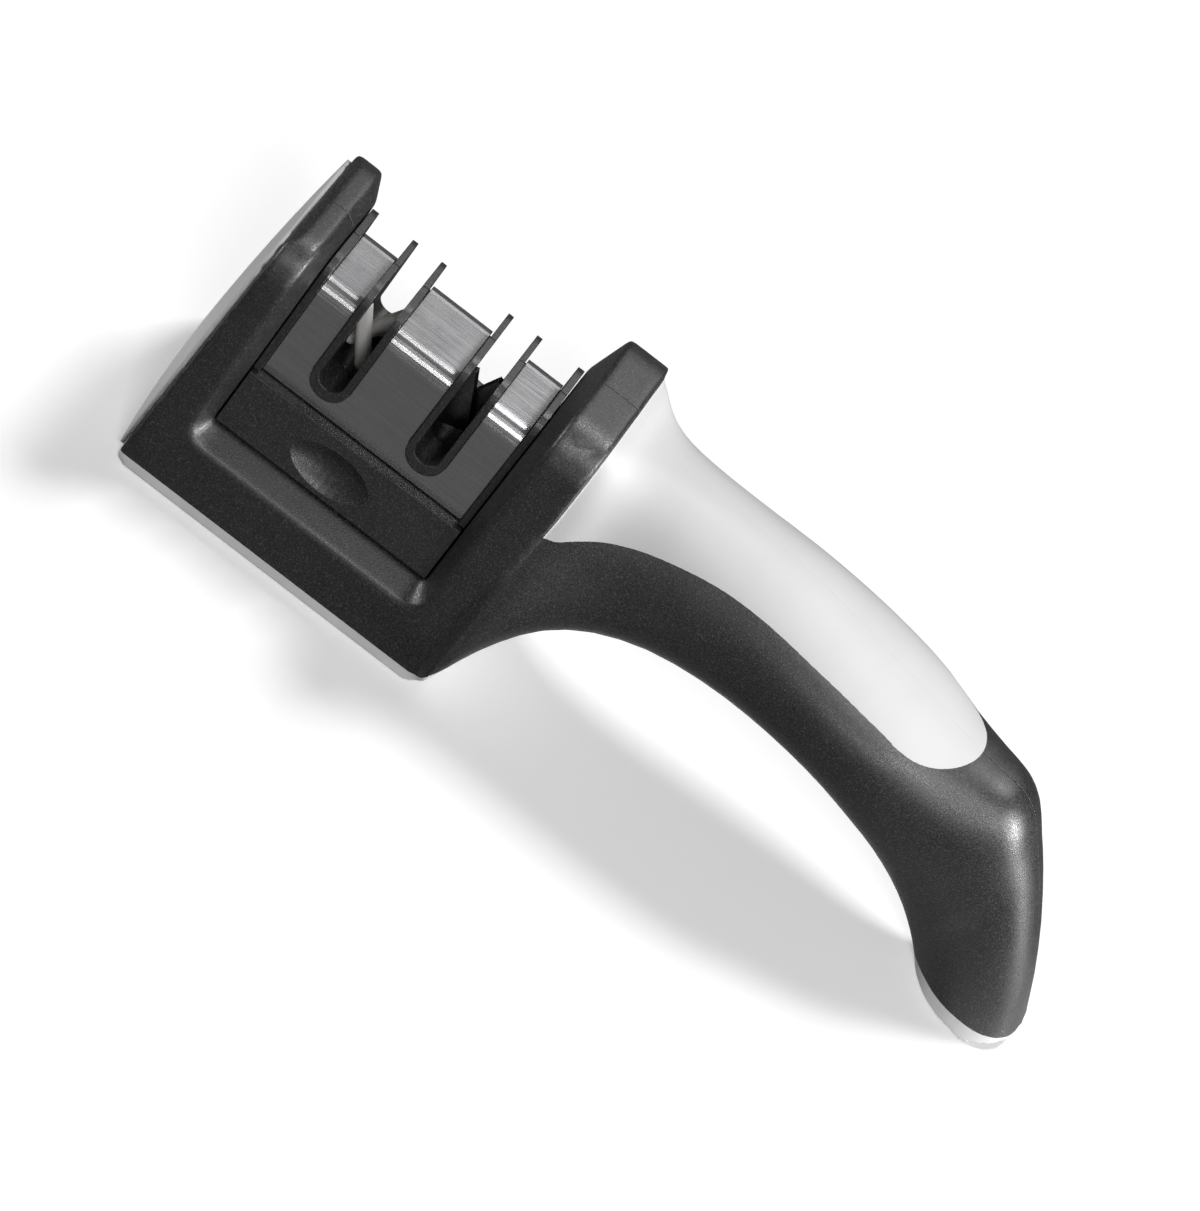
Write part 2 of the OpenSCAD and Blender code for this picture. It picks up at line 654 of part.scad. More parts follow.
// Half of the cartridge's housing, in front of the middle plane
module housing_half(fin_t) {
    reach = steel_low_half_d + fin_proud + overrun;
    difference() {
        union() {
            along_x(concat(core_outline, [[0, core_top_z], [0, steel_low_z]]), cart_x0, cart_x1);
            translate([cart_x0, -waist_half_d, floor_z + tray_t])
                cube([cart_w, waist_half_d, steel_low_z - floor_z - tray_t + waist_lap]);
            intersection() {
                along_x(concat(fin_outline, [[0, fin_top_z], [0, steel_low_z]]), cart_x0, cart_x1);
                union() {
                    translate([cart_x0, -reach, steel_low_z]) cube([cheek_t, reach, fin_top_z]);
                    translate([cart_x1 - cheek_t, -reach, steel_low_z]) cube([cheek_t, reach, fin_top_z]);
                    slot_channels(slot_w / 2 + fin_t, -reach, 0);
                }
            }
        }
        slot_channels(slot_w / 2, -reach, overrun, slot_floor_z + slot_w / 2);
        for (x = slot_xs) holder_space(x, fixed_gap);
        guide_holes();
    }
}
module cartridge_front_housing() {
    color(black) difference() {
        housing_half(slot_rim_t);
        for (p = cart_screws_at) translate([p[0], 0, p[1]]) rotate([90, 0, 0])
            translate([0, 0, -overrun]) cylinder(r = small_screw_r + running_gap, h = small_bite + overrun + waist_lap);
    }
}
module cartridge_rear_housing() {
    color(black) difference() {
        mirror([0, 1, 0]) housing_half(rear_fin_t);
        for (p = cart_screws_at) translate([p[0], 0, p[1]]) rotate([-90, 0, 0]) {
            translate([0, 0, -overrun]) cylinder(r = small_screw_r + 2 * running_gap, h = head_half_d);
            translate([0, 0, small_seat_y]) cylinder(r = small_screw_head_r + 2 * running_gap, h = head_half_d);
        }
    }
}
module cartridge_screws() {
    color(steel) for (p = cart_screws_at) translate([p[0], 0, p[1]])
        screw(small_screw_r, small_screw_head_r, small_head_t, small_bite, small_seat_y);
}
module cartridge_tray() {
    color(black) {
        translate([cart_x0, -waist_half_d, floor_z]) cube([cart_w, 2 * waist_half_d, tray_t]);
        tongue_blocks(0);
    }
}
module steel_cover() {
    outer = half_outline(steel_low_half_d, steel_low_z, steel_lean, steel_top_z, steel_bend_r);
    inner = saddle(-steel_t, steel_top_z - steel_t, steel_bend_r - steel_t);
    x0 = cart_x0 + cheek_t + fixed_gap;
    x1 = cart_x1 - cheek_t - fixed_gap;
    color(steel) difference() {
        along_x(mirrored(outer), x0, x1);
        along_x(mirrored(inner), x0 - overrun, x1 + overrun);
        slot_channels(rim_r + fixed_gap, -head_half_d, head_half_d);
    }
}

// A barrel along X that is thickest in its middle, where its radius is r
module hollow_barrel(r, arc_r) {
    half_l = hollow_half_w * 3 / 2;
    rotate([0, 90, 0]) rotate_extrude($fn = fine_fn) polygon(concat([[0, -half_l]],
        [for (k = [-arc_steps:arc_steps]) let (x = half_l * k / arc_steps)
            [r - arc_r + sqrt(arc_r * arc_r - x * x), x]],
        [[0, half_l]]));
}
// One finger panel, on the front: it is pinched inwards, towards the middle plane
module finger_panel() {
    mid_z = (finger_low_z + finger_top_z) / 2;
    mid_half_d = (finger_low_half_d + finger_top_half_d) / 2;
    barrel_r = (hollow_half_h * hollow_half_h + hollow_depth * hollow_depth) / (2 * hollow_depth);
    arc_r = (hollow_half_w * hollow_half_w + hollow_depth * hollow_depth) / (2 * hollow_depth);
    difference() {
        along_x([[-finger_low_half_d, finger_low_z], [-finger_top_half_d, finger_top_z],
            [finger_t - finger_top_half_d, finger_top_z], [finger_t - finger_low_half_d, finger_low_z]],
            cart_x0 + fixed_gap, cart_x1 - fixed_gap);
        translate([cart_mid_x, -mid_half_d, mid_z]) rotate([-finger_lean, 0, 0])
            translate([hollow_side, hollow_depth - barrel_r, hollow_up]) hollow_barrel(barrel_r, arc_r);
    }
    for (x = guide_xs) translate([x, finger_t - finger_low_half_d, guide_z]) rotate([-90, 0, 0])
        cylinder(r = guide_r, h = guide_l);
}
module front_finger_panel() {
    color(black) finger_panel();
}
module rear_finger_panel() {
    color(black) mirror([0, 1, 0]) finger_panel();
}
// A bowed leaf spring whose ends bear on the housing and whose middle bears on the panel
module panel_spring() {
    mid_z = guide_z;
    back_y = finger_t - finger_low_half_d + (mid_z + spring_h / 2 - finger_low_z) * tan(finger_lean);
    rise = -waist_half_d - back_y - fixed_gap;
    bow_r = (spring_half_w * spring_half_w + rise * rise) / (2 * rise);
    translate([cart_mid_x, -waist_half_d + bow_r - rise, mid_z - spring_h / 2]) intersection() {
        difference() {
            cylinder(r = bow_r, h = spring_h, $fn = fine_fn);
            translate([0, 0, -overrun]) cylinder(r = bow_r - spring_t, h = spring_h + 2 * overrun, $fn = fine_fn);
        }
        translate([-spring_half_w, -bow_r, 0]) cube([2 * spring_half_w, rise, spring_h]);
    }
}
module front_panel_spring() {
    color(steel) panel_spring();
}
module rear_panel_spring() {
    color(steel) mirror([0, 1, 0]) panel_spring();
}

// A rod with round ends in the first slot; side is -1 for the front rod
module rod(side, gap) {
    r = rod_d / 2;
    low = rod_up_l - rod_l + r;
    translate([slot_xs[0], side * rod_offset_y, rod_cross_z]) rotate([0, side * rod_tilt, 0]) {
        translate([0, 0, low]) cylinder(r = r + gap, h = rod_l - rod_d);
        for (end = [low, rod_up_l - r]) translate([0, 0, end]) sphere(r + gap);
    }
}
module front_ceramic_rod() {
    color(ceramic) rod(-1, 0);
}
module rear_ceramic_rod() {
    color(ceramic) rod(1, 0);
}
module holder(x) {
    difference() {
        holder_space(x, 0);
        along_y(-head_half_d, head_half_d)
            slot_shape(x, slot_w / 2, slot_floor_z - slot_sill_t + slot_w / 2);
    }
}
module rod_holder() {
    color(black) difference() {
        holder(slot_xs[0]);
        rod(-1, running_gap);
        rod(1, running_gap);
    }
}
// A blade in the second slot, tilted so that its edge crosses the other one in a V
module blade(side, gap) {
    y0 = side < 0 ? -blade_t - running_gap : running_gap;
    translate([slot_xs[1], y0 - gap, blade_cross_z]) rotate([0, side * blade_tilt, 0])
        translate([side < 0 ? -blade_w - gap : -gap, 0, -blade_low_share * blade_l - gap])
            cube([blade_w + 2 * gap, blade_t + 2 * gap, blade_l + 2 * gap]);
}
module front_carbide_blade() {
    color(carbide) blade(-1, 0);
}
module rear_carbide_blade() {
    color(carbide) blade(1, 0);
}
// A grub screw that bears on the face of one blade, with a cross in its outer end
module grub_screw(side, gap, outer) {
    inner = blade_t + 2 * running_gap;
    translate([slot_xs[1] + side * grub_dx, 0, grub_z]) rotate([-90 * side, 0, 0])
        translate([0, 0, inner]) cylinder(r = grub_r + gap, h = outer - inner);
}
module blade_holder() {
    color(black) difference() {
        holder(slot_xs[1]);
        blade(-1, running_gap);
        blade(1, running_gap);
        for (side = [-1, 1]) grub_screw(side, running_gap, head_half_d);
    }
}
module blade_screws() {
    color(steel) for (side = [-1, 1]) difference() {
        grub_screw(side, 0, holder_half_d);
        translate([slot_xs[1] + side * grub_dx, side * holder_half_d, grub_z])
            cube([3 / 2 * grub_r, grub_r, grub_r / 3], center = true);
    }
}

module placed() {
    translate([-origin_x, 0, 0]) children();
}

placed() front_shell();
placed() rear_shell();
placed() grip_inlay();
placed() end_panel();
placed() base_sole();
placed() tail_sole();
placed() case_screws();
placed() cartridge_front_housing();
placed() cartridge_rear_housing();
placed() cartridge_tray();
placed() cartridge_screws();
placed() steel_cover();
placed() front_finger_panel();
placed() rear_finger_panel();
placed() front_panel_spring();
placed() rear_panel_spring();
placed() front_ceramic_rod();
placed() rear_ceramic_rod();
placed() rod_holder();
placed() front_carbide_blade();
placed() rear_carbide_blade();
placed() blade_holder();
placed() blade_screws();
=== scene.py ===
import json

import bpy
import numpy as np
from mathutils import Matrix, Vector
from mathutils.bvhtree import BVHTree


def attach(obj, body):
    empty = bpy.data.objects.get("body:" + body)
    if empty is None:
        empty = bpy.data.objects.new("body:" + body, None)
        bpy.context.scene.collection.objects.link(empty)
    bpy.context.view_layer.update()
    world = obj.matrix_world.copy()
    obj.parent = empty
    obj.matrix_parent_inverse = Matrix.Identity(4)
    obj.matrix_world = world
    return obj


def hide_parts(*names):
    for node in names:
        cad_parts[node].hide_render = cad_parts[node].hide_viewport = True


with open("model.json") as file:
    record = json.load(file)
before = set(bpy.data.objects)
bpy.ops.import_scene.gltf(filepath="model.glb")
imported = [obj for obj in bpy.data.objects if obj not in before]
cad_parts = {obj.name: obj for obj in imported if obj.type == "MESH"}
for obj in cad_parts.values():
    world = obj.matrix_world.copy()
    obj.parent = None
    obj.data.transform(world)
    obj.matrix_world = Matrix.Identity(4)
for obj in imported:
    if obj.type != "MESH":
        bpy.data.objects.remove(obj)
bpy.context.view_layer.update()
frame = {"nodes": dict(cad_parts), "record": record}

MM = 0.001
TINY = 1e-20
ORIGIN_X_MM = 99.4235

# The skin of the moulded pieces: grid step, rounds of smoothing, reach of the handle's surface
VOXEL = 0.4 * MM
ROUNDS = 8
PULL = 0.5
REACH = 0.8 * MM
STEPS_PER_STATION = 6
RING_STEPS = 72
# How far the handle's normals count: cosines between none and all, and the fade at the reach
NORMALS_NONE, NORMALS_SPAN = 0.88, 0.07
FADE_SHARE = 0.4
# Points closer than this many decimals are one point of the end panel
WELD_DIGITS = 7
# Puts the points of the middle plane on one side
TIE = 1e-9

# The handle's sections, the same values as in the part's source
HEAD_W_MM = 70.0
RIGHT_WALL_OUT_MM = 1.9
HANDLE_START_SHARE = 0.25
HANDLE_X_MM = HEAD_W_MM + HANDLE_START_SHARE * RIGHT_WALL_OUT_MM
HANDLE_L_MM = 132.0
SPINE_H_MM = 69.4
GRIP_HALF_W_MM = 16.0
SPINE_SHARES = [
    (-0.03, 0.99), (0, 1), (0.023, 0.986), (0.049, 0.964), (0.083, 0.951), (0.125, 0.945),
    (0.178, 0.941), (0.246, 0.937), (0.329, 0.925), (0.42, 0.898), (0.511, 0.862),
    (0.587, 0.827), (0.655, 0.794), (0.715, 0.775), (0.761, 0.762), (0.795, 0.718),
    (0.827, 0.634), (0.863, 0.537), (0.915, 0.371), (0.961, 0.196), (0.992, 0.053),
    (0.996, 0.04)]
UNDER_SHARES = [
    (-0.03, 0.02), (0, 0.007), (0.011, 0.031), (0.027, 0.098), (0.053, 0.193), (0.091, 0.294),
    (0.148, 0.371), (0.223, 0.425), (0.307, 0.457), (0.386, 0.464), (0.462, 0.449),
    (0.53, 0.413), (0.59, 0.367), (0.647, 0.307), (0.699, 0.236), (0.743, 0.162), (0.777, 0.094),
    (0.801, 0.038), (0.818, -0.004), (0.827, -0.03), (0.832, -0.05), (0.838, -0.06)]
WIDTH_SHARES = [
    1.2, 1.27, 1.262, 1.223, 1.118, 1.029, 0.968, 0.956, 0.963, 0.998, 1.019, 0.993, 0.908,
    0.812, 0.714, 0.63, 0.566, 0.509, 0.512, 0.556, 0.64, 0.736]
SQUARENESS = [
    12, 12, 8, 4.8, 3.6, 3, 2.6, 2.3, 2.3, 2.3, 2.3, 2.3, 2.3, 2.3, 2.3, 2.3, 2.3, 2.3, 2.3, 2.3,
    2.3, 2.3]
TAPER_SHARES = [
    0.11, 0.274, 0.301, 0.31, 0.31, 0.264, 0.176, 0.1, 0.045, -0.005, -0.049, -0.085, -0.04,
    -0.06, -0.11, -0.17, -0.21, -0.21, -0.13, -0.03, 0, 0]


def smooth_value(values, s):
    """Catmull-Rom value of a list at the station numbers s, as the source draws it"""
    values = np.asarray(values, float)
    last = len(values) - 1
    i = np.minimum(np.floor(s).astype(int), last - 1)
    t = (s - i).reshape((-1,) + (1,) * (values.ndim - 1))
    a, b = values[np.maximum(i - 1, 0)], values[i]
    c, d = values[i + 1], values[np.minimum(i + 2, last)]
    return b + 0.5 * t * (c - a + t * (2 * a - 5 * b + 4 * c - d + t * (3 * (b - c) + d - a)))


def handle_grid(steps_per_station, ring_steps):
    """Points of the handle's front half as rows of sections, and the outward normals there"""
    s = np.linspace(0, len(SPINE_SHARES) - 1, (len(SPINE_SHARES) - 1) * steps_per_station + 1)
    scale = np.array([HANDLE_L_MM, SPINE_H_MM])
    start = np.array([HANDLE_X_MM - ORIGIN_X_MM, 0.0])
    top = start + smooth_value(SPINE_SHARES, s) * scale
    low = start + smooth_value(UNDER_SHARES, s) * scale
    half, middle = (top - low) / 2, (top + low) / 2
    width = smooth_value(WIDTH_SHARES, s)[:, None] * GRIP_HALF_W_MM
    power = 2 / smooth_value(SQUARENESS, s)[:, None]
    taper = smooth_value(TAPER_SHARES, s)[:, None]
    angle = np.radians(np.linspace(-90, 90, ring_steps + 1))[None]
    v = np.sign(angle) * np.abs(np.sin(angle)) ** power
    flat = np.abs(np.cos(angle)) ** power
    flat[:, 0] = flat[:, -1] = 0
    points = np.stack([middle[:, :1] + half[:, :1] * v, -width * (1 - taper * v) * flat,
                       middle[:, 1:] + half[:, 1:] * v], -1) * MM
    normals = np.cross(np.gradient(points, axis=0), np.gradient(points, axis=1))
    normals /= np.maximum(np.linalg.norm(normals, axis=2, keepdims=True), TINY)
    normals[normals[:, ring_steps // 2, 1] > 0] *= -1
    normals[:, (0, -1), 1] = 0
    normals /= np.maximum(np.linalg.norm(normals, axis=2, keepdims=True), TINY)
    return points, normals


def handle_surface():
    """Vertices, triangles and normals of both halves of the handle's smooth surface"""
    points, normals = handle_grid(STEPS_PER_STATION, RING_STEPS)
    rows, columns = points.shape[:2]
    corner = np.arange(rows * columns).reshape(rows, columns)
    a, b, c, d = corner[:-1, :-1], corner[1:, :-1], corner[1:, 1:], corner[:-1, 1:]
    faces = np.concatenate([np.stack([a, b, c], -1), np.stack([a, c, d], -1)]).reshape(-1, 3)
    flip = np.array([1, -1, 1])
    points, normals = points.reshape(-1, 3), normals.reshape(-1, 3)
    return (np.concatenate([points, points * flip]), np.concatenate([faces, faces + len(points)]),
            np.concatenate([normals, normals * flip]))


def with_handle_normals(points, normals):
    """Swaps in the smooth surface's normals where the skin follows the handle"""
    smooth_points, faces, smooth_normals = handle_surface()
    tree = BVHTree.FromPolygons(smooth_points.tolist(), faces.tolist())
    result = normals.copy()
    for k, point in enumerate(points):
        place, _, face, away = tree.find_nearest(point, REACH)
        if place is None:
            continue
        p = smooth_points[faces[face]]
        edge_1, edge_2, here = p[1] - p[0], p[2] - p[0], np.array(place) - p[0]
        d11, d12, d22 = edge_1 @ edge_1, edge_1 @ edge_2, edge_2 @ edge_2
        h1, h2 = here @ edge_1, here @ edge_2
        size = max(d11 * d22 - d12 * d12, TINY ** 1.5)
        u, v = (d22 * h1 - d12 * h2) / size, (d11 * h2 - d12 * h1) / size
        true = np.array([1 - u - v, u, v]) @ smooth_normals[faces[face]]
        true /= max(np.linalg.norm(true), TINY)
        share = min(1.0, max(0.0, (true @ normals[k] - NORMALS_NONE) / NORMALS_SPAN))
        share *= min(1.0, (REACH - away) / (FADE_SHARE * REACH))
        result[k] = normals[k] + share * (true - normals[k])
    return result / np.maximum(np.linalg.norm(result, axis=1, keepdims=True), TINY)


# Spans that noise and shares lie in, and the rays that round an edge off
MIDDLE = (0.3, 0.7)
ALL = (0.0, 1.0)
FALL = (1.0, 0.0)
BEVEL_SAMPLES = 6


# Helpers that build node materials
def new_material(name):
    material = bpy.data.materials.new(name)
    material.use_nodes = True
    tree = material.node_tree
    return material, tree, tree.nodes["Principled BSDF"]


def object_point(tree, scale=(1, 1, 1)):
    """Object coordinates stretched by a scale"""
    source = tree.nodes.new("ShaderNodeTexCoord")
    mapping = tree.nodes.new("ShaderNodeMapping")
    mapping.inputs["Scale"].default_value = scale
    tree.links.new(source.outputs["Object"], mapping.inputs["Vector"])
    return mapping.outputs["Vector"]


def noise(tree, vector, scale, detail=2.0, roughness=0.5):
    node = tree.nodes.new("ShaderNodeTexNoise")
    node.inputs["Scale"].default_value = scale
    node.inputs["Detail"].default_value = detail
    node.inputs["Roughness"].default_value = roughness
    tree.links.new(vector, node.inputs["Vector"])
    return node.outputs["Fac"]


def remap(tree, value, span, to_span):
    """Maps the values of one span onto another span"""
    node = tree.nodes.new("ShaderNodeMapRange")
    for socket, number in zip(("From Min", "From Max", "To Min", "To Max"), (*span, *to_span)):
        node.inputs[socket].default_value = number
    tree.links.new(value, node.inputs["Value"])
    return node.outputs["Result"]


def off_middle(tree, point):
    """Distance of a point from the middle plane"""
    split = tree.nodes.new("ShaderNodeSeparateXYZ")
    tree.links.new(point, split.inputs[0])
    return math_node(tree, "ABSOLUTE", split.outputs["Y"])


def math_node(tree, operation, a, b=None):
    node = tree.nodes.new("ShaderNodeMath")
    node.operation = operation
    for k, value in enumerate((a, b)):
        if value is None:
            continue
        if isinstance(value, (int, float)):
            node.inputs[k].default_value = value
        else:
            tree.links.new(value, node.inputs[k])
    return node.outputs[0]


def bump(tree, height, distance, strength=1.0, below=None):
    node = tree.nodes.new("ShaderNodeBump")
    node.inputs["Distance"].default_value = distance
    node.inputs["Strength"].default_value = strength
    tree.links.new(height, node.inputs["Height"])
    if below is not None:
        tree.links.new(below, node.inputs["Normal"])
    return node.outputs["Normal"]


def tint(tree, value, dark, light, bsdf):
    """Base colour that runs from dark to light with a value"""
    node = tree.nodes.new("ShaderNodeMix")
    node.data_type = "RGBA"
    node.inputs["A"].default_value = (*dark, 1)
    node.inputs["B"].default_value = (*light, 1)
    tree.links.new(value, node.inputs["Factor"])
    tree.links.new(node.outputs["Result"], bsdf.inputs["Base Color"])


def rounded(tree, radius):
    """A shading normal that rounds edges off by a radius"""
    node = tree.nodes.new("ShaderNodeBevel")
    node.samples = BEVEL_SAMPLES
    node.inputs["Radius"].default_value = radius
    return node.outputs["Normal"]


def grained_plastic(name):
    """Black plastic with the grain of a fine eroded mould in its roughness and bumps, its sparkle
    painted as lighter glint specks in its colour, and a seam at the middle plane
    """
    # The colour of the plastic, and the lighter colour of its painted glints
    dark, speck = (0.001, 0.001, 0.001), (0.04, 0.04, 0.041)
    grain_scale, speck_scale, patch_scale, wear_scale = 3300, 3000, 90, 700
    grain_span, painted_glint_span, wear_span = (0.35, 0.7), (0.52, 0.76), (0.66, 0.8)
    rough, patch_change, wear_change = (0.56, 0.32), (-0.03, 0.04), (0.0, 0.08)
    sheen, edge_r, grain_depth, grain_strength = 0.95, 0.0003, 0.00005, 0.6
    seam_span, seam_depth = (0.00005, 0.00016), 0.00015
    material, tree, bsdf = new_material(name)
    point = object_point(tree)
    grain = noise(tree, point, grain_scale, detail=2.0)
    patches = noise(tree, point, patch_scale, detail=3.0)
    wear = noise(tree, point, wear_scale, detail=4.0, roughness=0.7)
    # Painted glints: sparse lighter specks in the base colour stand in for the sparkle of light off
    # the grain
    painted_glints = remap(tree, noise(tree, point, speck_scale, detail=1.0), painted_glint_span, ALL)
    tint(tree, painted_glints, dark, speck, bsdf)
    gloss = math_node(tree, "ADD", remap(tree, grain, grain_span, rough),
                      remap(tree, patches, MIDDLE, patch_change))
    tree.links.new(math_node(tree, "ADD", gloss, remap(tree, wear, wear_span, wear_change)),
                   bsdf.inputs["Roughness"])
    bsdf.inputs["Specular IOR Level"].default_value = sheen
    normal = bump(tree, grain, grain_depth, grain_strength, rounded(tree, edge_r))
    seam = remap(tree, off_middle(tree, point), seam_span, ALL)
    tree.links.new(bump(tree, seam, seam_depth, below=normal), bsdf.inputs["Normal"])
    return material


def satin_plastic(name):
    """Pale silver-grey plastic, smooth, with faint handling marks and a mould line on its crest"""
    dark, light = (0.42, 0.42, 0.425), (0.48, 0.48, 0.48)
    cloud_scale, speck_scale, scuff_scale, scuff_stretch = 60, 4200, 260, (1, 9, 9)
    rough, scuff_span, scuff_change = (0.48, 0.6), (0.55, 0.75), (0.0, 0.07)
    sheen, edge_r, speck_depth, speck_strength = 0.25, 0.0003, 0.000012, 0.5
    seam_span, seam_depth = (0.00004, 0.0002), 0.00003
    material, tree, bsdf = new_material(name)
    point = object_point(tree)
    cloud = noise(tree, point, cloud_scale, detail=3.0)
    speck = noise(tree, point, speck_scale, detail=2.0)
    scuff = noise(tree, object_point(tree, scuff_stretch), scuff_scale, detail=4.0, roughness=0.65)
    tint(tree, cloud, dark, light, bsdf)
    tree.links.new(math_node(tree, "ADD", remap(tree, speck, MIDDLE, rough),
                             remap(tree, scuff, scuff_span, scuff_change)),
                   bsdf.inputs["Roughness"])
    bsdf.inputs["Specular IOR Level"].default_value = sheen
    normal = bump(tree, speck, speck_depth, speck_strength, rounded(tree, edge_r))
    seam = remap(tree, off_middle(tree, point), seam_span, ALL)
    tree.links.new(bump(tree, seam, seam_depth, below=normal), bsdf.inputs["Normal"])
    return material


def sole_rubber(name):
    """Grey rubber with a fine grain and a little dust"""
    dark, light, rough = (0.4, 0.4, 0.4), (0.52, 0.52, 0.52), (0.42, 0.6)
    grain_scale, dust_scale = 1900, 150
    edge_r, grain_depth, grain_strength = 0.0004, 0.00003, 0.4
    material, tree, bsdf = new_material(name)
    point = object_point(tree)
    grain = noise(tree, point, grain_scale, detail=4.0, roughness=0.6)
    dust = noise(tree, point, dust_scale, detail=4.0)
    tint(tree, dust, dark, light, bsdf)
    tree.links.new(remap(tree, grain, MIDDLE, rough), bsdf.inputs["Roughness"])
    tree.links.new(bump(tree, grain, grain_depth, grain_strength, rounded(tree, edge_r)),
                   bsdf.inputs["Normal"])
    return material


def drawn_metal(name, color, rough, stretch, depth):
    """Metal with fine lines along the direction in which the noise is stretched"""
    dark_share, rough_rise, cloud_change = 0.82, 0.12, (-0.02, 0.03)
    cloud_scale, edge_r, line_strength = 120, 0.00025, 0.35
    material, tree, bsdf = new_material(name)
    lines = noise(tree, object_point(tree, stretch), 1.0, detail=3.0, roughness=0.75)
    cloud = noise(tree, object_point(tree), cloud_scale, detail=3.0)
    dark = tuple(dark_share * c for c in color)
    tint(tree, remap(tree, lines, MIDDLE, ALL), dark, color, bsdf)
    bsdf.inputs["Metallic"].default_value = 1.0
    tree.links.new(math_node(tree, "ADD", remap(tree, lines, MIDDLE, (rough, rough + rough_rise)),
                             remap(tree, cloud, MIDDLE, cloud_change)), bsdf.inputs["Roughness"])
    tree.links.new(bump(tree, lines, depth, line_strength, rounded(tree, edge_r)),
                   bsdf.inputs["Normal"])
    return material


def fired_ceramic(name):
    """White ceramic, slightly mottled along the rod"""
    dark, light, rough = (0.7, 0.69, 0.66), (0.86, 0.85, 0.82), (0.3, 0.48)
    grain_scale, smear_scale, smear_stretch = 2600, 420, (1, 1, 0.3)
    glow_share, glow_depth, grain_depth, grain_strength = 0.06, 0.001, 0.00002, 0.4
    material, tree, bsdf = new_material(name)
    point = object_point(tree)
    grain = noise(tree, point, grain_scale, detail=4.0, roughness=0.7)
    smear = noise(tree, object_point(tree, smear_stretch), smear_scale, detail=4.0)
    tint(tree, smear, dark, light, bsdf)
    tree.links.new(remap(tree, grain, MIDDLE, rough), bsdf.inputs["Roughness"])
    bsdf.inputs["Subsurface Weight"].default_value = glow_share
    bsdf.inputs["Subsurface Scale"].default_value = glow_depth
    tree.links.new(bump(tree, grain, grain_depth, grain_strength), bsdf.inputs["Normal"])
    return material


METALS = {
    "brushed_steel": dict(
        color=(0.52, 0.52, 0.53), rough=0.2, stretch=(60, 5200, 5200), depth=0.000012),
    "zinc_steel": dict(
        color=(0.5, 0.5, 0.52), rough=0.3, stretch=(1500, 1500, 4000), depth=0.00002),
    "spring_steel": dict(
        color=(0.42, 0.42, 0.43), rough=0.28, stretch=(300, 300, 6000), depth=0.00001),
    "dark_carbide": dict(
        color=(0.2, 0.2, 0.205), rough=0.25, stretch=(2500, 2500, 500), depth=0.00001),
}
LOOKS = {
    "black_plastic": grained_plastic("black_plastic_look"),
    "light_plastic": satin_plastic("light_plastic_look"),
    "sole_rubber": sole_rubber("sole_rubber_look"),
    "white_ceramic": fired_ceramic("white_ceramic_look"),
}
for metal, values in METALS.items():
    LOOKS[metal] = drawn_metal(metal + "_look", **values)


def dress_nodes():
    """Gives every CAD node the detailed material of its slot"""
    slots = {s["node"]: s["material_slot"] for s in frame["record"]["subparts"]}
    for node, obj in frame["nodes"].items():
        for k in range(max(1, len(obj.material_slots))):
            if obj.material_slots:
                obj.material_slots[k].material = LOOKS[slots[node]]
            else:
                obj.data.materials.append(LOOKS[slots[node]])
    return slots


SLOTS = dress_nodes()


def triangles(mesh):
    """Vertex and triangle arrays of a mesh"""
    mesh.calc_loop_triangles()
    points = np.empty(len(mesh.vertices) * 3)
    mesh.vertices.foreach_get("co", points)
    faces = np.empty(len(mesh.loop_triangles) * 3, dtype=int)
    mesh.loop_triangles.foreach_get("vertices", faces)
    return points.reshape(-1, 3), faces.reshape(-1, 3)


def joined(nodes):
    """One mesh that holds the surfaces of several CAD nodes"""
    points, faces, count = [], [], 0
    for node in nodes:
        p, f = triangles(frame["nodes"][node].data)
        points.append(p)
        faces.append(f + count)
        count += len(p)
    return np.concatenate(points), np.concatenate(faces)


def made_mesh(name, points, faces):
    mesh = bpy.data.meshes.new(name)
    mesh.vertices.add(len(points))
    mesh.vertices.foreach_set("co", np.asarray(points, dtype=np.float32).ravel())
    mesh.loops.add(len(faces) * 3)
    mesh.loops.foreach_set("vertex_index", np.asarray(faces, dtype=np.int32).ravel())
    mesh.polygons.add(len(faces))
    mesh.polygons.foreach_set("loop_start", np.arange(len(faces), dtype=np.int32) * 3)
    mesh.update(calc_edges=True)
    mesh.validate()
    return mesh


def voxel_skin(nodes, voxel):
    """Vertices and triangles of an even skin round the joined nodes"""
    source = bpy.data.objects.new("skin_source", made_mesh("skin_source", *joined(nodes)))
    bpy.context.scene.collection.objects.link(source)
    remesh = source.modifiers.new("even", "REMESH")
    remesh.mode = "VOXEL"
    remesh.voxel_size = voxel
    remesh.adaptivity = 0
    evaluated = source.evaluated_get(bpy.context.evaluated_depsgraph_get())
    mesh = evaluated.to_mesh()
    points, faces = triangles(mesh)
    evaluated.to_mesh_clear()
    bpy.data.objects.remove(source)
    return points, faces


def edge_pairs(faces):
    pairs = np.sort(np.concatenate([faces[:, [0, 1]], faces[:, [1, 2]], faces[:, [2, 0]]]), axis=1)
    return np.unique(pairs, axis=0)


def worn_smooth(points, faces, rounds):
    """Moves every vertex towards its neighbours' middle, which rounds the edges off"""
    a, b = edge_pairs(faces).T
    count = np.bincount(a, minlength=len(points)) + np.bincount(b, minlength=len(points))
    for _ in range(rounds):
        total = np.zeros_like(points)
        for k in range(3):
            total[:, k] = (np.bincount(a, points[b, k], len(points))
                           + np.bincount(b, points[a, k], len(points)))
        points = points + PULL * (total / count[:, None] - points)
    return points


def vertex_normals(points, faces):
    p = points[faces]
    face_normal = np.cross(p[:, 1] - p[:, 0], p[:, 2] - p[:, 0])
    total = np.zeros_like(points)
    for k in range(3):
        for axis in range(3):
            total[:, axis] += np.bincount(faces[:, k], face_normal[:, axis], len(points))
    return total / np.maximum(np.linalg.norm(total, axis=1, keepdims=True), TINY)


